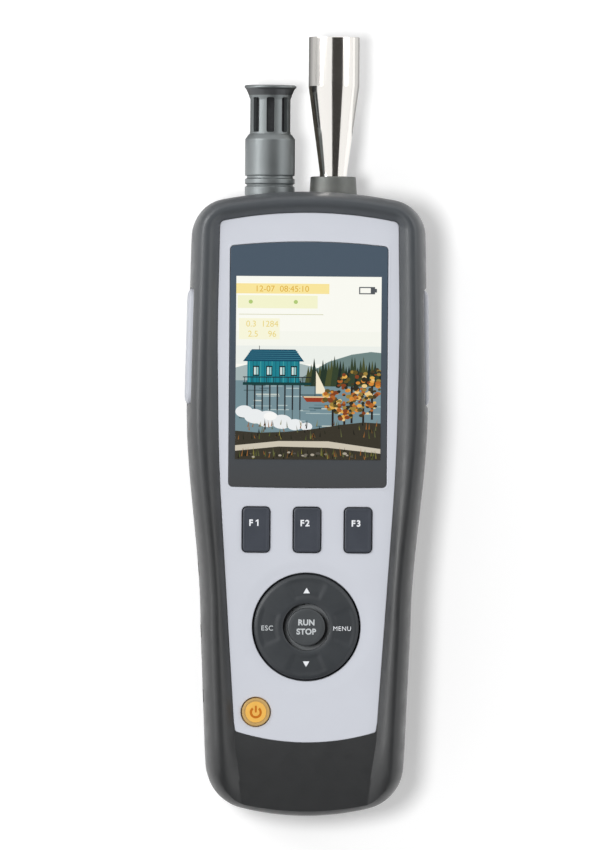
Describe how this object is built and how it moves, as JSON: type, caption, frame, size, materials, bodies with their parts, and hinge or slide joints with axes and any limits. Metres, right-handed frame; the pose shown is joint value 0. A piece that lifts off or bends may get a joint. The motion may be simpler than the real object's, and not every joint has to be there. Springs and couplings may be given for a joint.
{
  "type": "airborne particle counter",
  "caption": "Hand-held airborne particle counter with a colour screen, function keys, a round navigation pad, a humidity sensor and a conical isokinetic probe.",
  "frame": {"origin": "centre of the bounding box in plan, on the plane of the back rim that the instrument lies on", "axes": "+Z out of the front panel, +Y from the foot to the mouth of the probe, +X to the right as the panel is read"},
  "size_m": [0.0756, 0.24, 0.057],
  "materials": {
    "rubber": "satin",
    "light_shell": "matte",
    "lens_glass": "gloss",
    "key_plastic": "satin",
    "power_plastic": "gloss",
    "silicone": "matte",
    "dark_plastic": "satin",
    "collar_metal": "satin",
    "polished_steel": "polished",
    "screw_steel": "satin",
    "brass": "satin",
    "circuit_board": "satin",
    "black_plastic": "matte",
    "clear_tube": "gloss",
    "cell_wrap": "gloss"
  },
  "bodies": {
    "root": {"rubber_cover": "rubber", "front_housing": "light_shell", "rear_housing": "light_shell", "side_insert_left": "light_shell", "side_insert_right": "light_shell", "display_lens": "lens_glass", "lcd_module": "black_plastic", "main_board": "circuit_board", "board_screws": "screw_steel", "keypad_mat": "silicone", "sensor_base": "dark_plastic", "sensor_guard": "dark_plastic", "humidity_sensor": "circuit_board", "sensor_filter": "black_plastic", "inlet_collar": "collar_metal", "inlet_probe": "polished_steel", "inlet_tube": "clear_tube", "optical_chamber": "black_plastic", "laser_module": "brass", "photodetector": "screw_steel", "air_pump": "black_plastic", "pump_tube": "clear_tube", "outlet_filter": "clear_tube", "outlet_tube": "clear_tube", "battery_pack": "cell_wrap", "battery_cover": "light_shell", "cover_screw": "screw_steel", "case_screws": "screw_steel", "tripod_insert": "brass", "camera_window": "lens_glass", "camera_module": "black_plastic", "buzzer": "black_plastic", "port_board": "circuit_board", "usb_socket": "screw_steel", "charge_jack": "black_plastic"},
    "f1_key": {"key_f1": "key_plastic"},
    "f2_key": {"key_f2": "key_plastic"},
    "f3_key": {"key_f3": "key_plastic"},
    "nav_rocker": {"nav_pivot": "dark_plastic"},
    "nav_key": {"nav_ring": "key_plastic"},
    "run_key": {"run_stop_key": "key_plastic"},
    "on_off_key": {"power_key": "power_plastic"}
  },
  "joints": [
    {"name": "f1_press", "type": "slide", "parent": "root", "child": "f1_key", "axis": [0, 0, -1], "range_m": [0, 0.0008], "stiffness_N_per_m": 300},
    {"name": "f2_press", "type": "slide", "parent": "root", "child": "f2_key", "axis": [0, 0, -1], "range_m": [0, 0.0008], "stiffness_N_per_m": 300},
    {"name": "f3_press", "type": "slide", "parent": "root", "child": "f3_key", "axis": [0, 0, -1], "range_m": [0, 0.0008], "stiffness_N_per_m": 300},
    {"name": "run_press", "type": "slide", "parent": "root", "child": "run_key", "axis": [0, 0, -1], "range_m": [0, 0.0008], "stiffness_N_per_m": 300},
    {"name": "power_press", "type": "slide", "parent": "root", "child": "on_off_key", "axis": [0, 0, -1], "range_m": [0, 0.0008], "stiffness_N_per_m": 300},
    {"name": "nav_up_down", "type": "hinge", "parent": "root", "child": "nav_rocker", "pos_m": [0, -0.0618, 0.0467], "axis": [1, 0, 0], "range_deg": [-2, 2], "stiffness_Nm_per_rad": 0.5},
    {"name": "nav_left_right", "type": "hinge", "parent": "nav_rocker", "child": "nav_key", "pos_m": [0, -0.0618, 0.0467], "axis": [0, 1, 0], "range_deg": [-2, 2], "stiffness_Nm_per_rad": 0.5}
  ]
}
